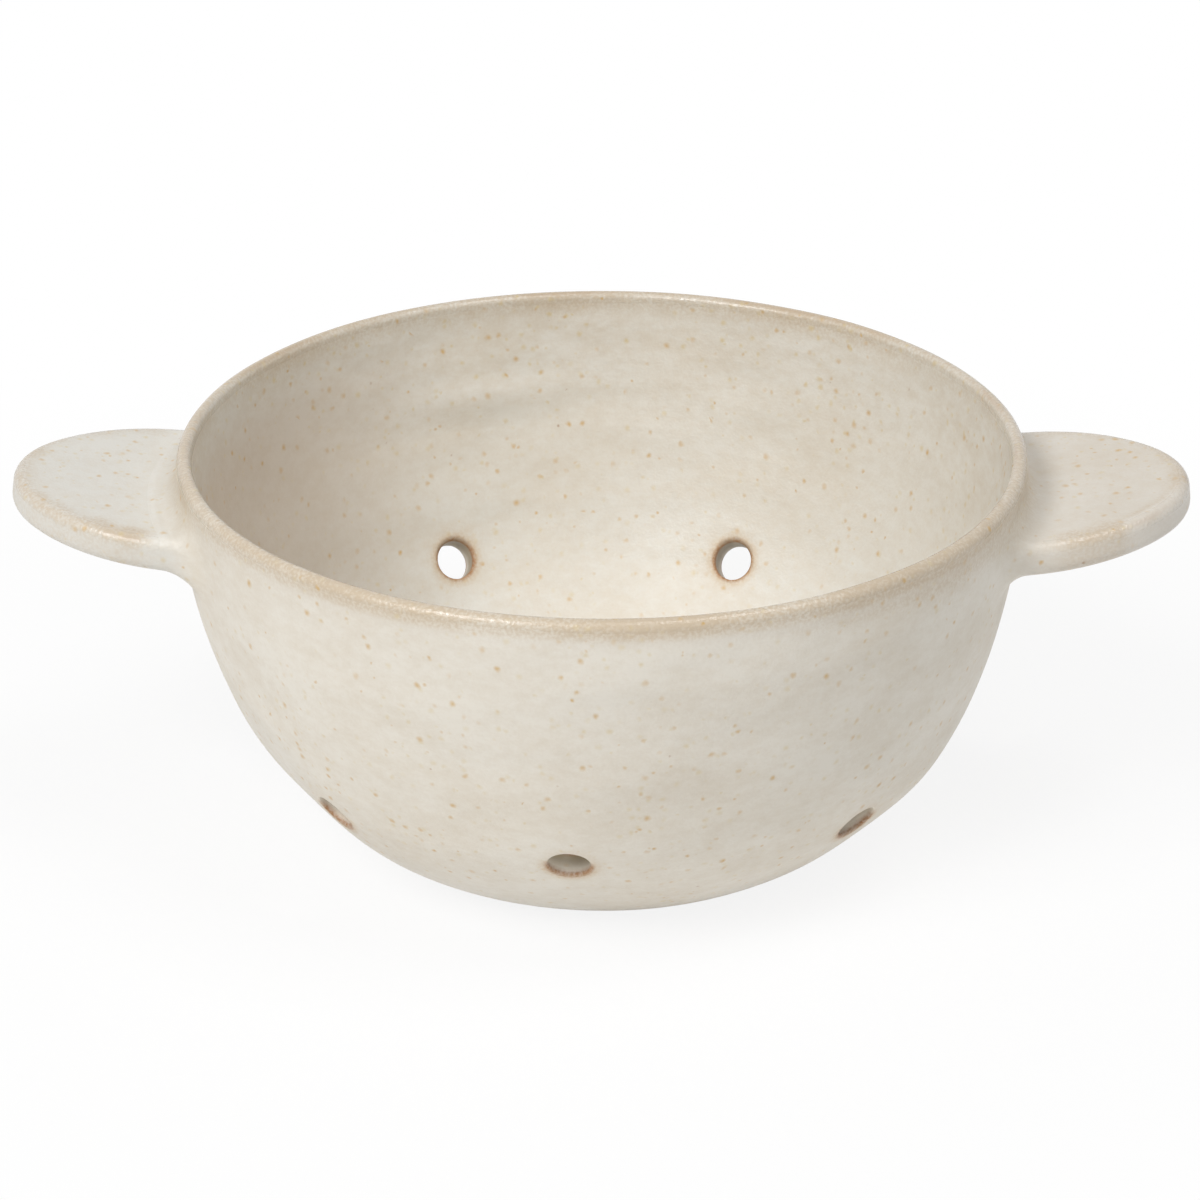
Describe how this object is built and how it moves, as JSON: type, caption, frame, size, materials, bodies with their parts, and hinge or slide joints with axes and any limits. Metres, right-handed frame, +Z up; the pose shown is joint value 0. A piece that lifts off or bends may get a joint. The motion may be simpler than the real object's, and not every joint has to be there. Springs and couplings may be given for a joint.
{
  "type": "fruit bowl",
  "caption": "Round stoneware berry bowl with drain holes through the lower wall and floor, and a flat lug handle on each side, for rinsing and serving fruit.",
  "frame": {"origin": "middle of the base, on the surface the bowl stands on", "axes": "+Z up; +X along the handles, to the right as seen from the front; front towards -Y"},
  "size_m": [0.1728, 0.124, 0.06],
  "materials": {
    "speckled_glaze": "satin cream glaze with brown iron speckles"
  },
  "bodies": {
    "root": {"bowl_body": "speckled_glaze", "left_handle": "speckled_glaze", "right_handle": "speckled_glaze", "left_seam_coil": "speckled_glaze", "right_seam_coil": "speckled_glaze"}
  },
  "joints": []
}
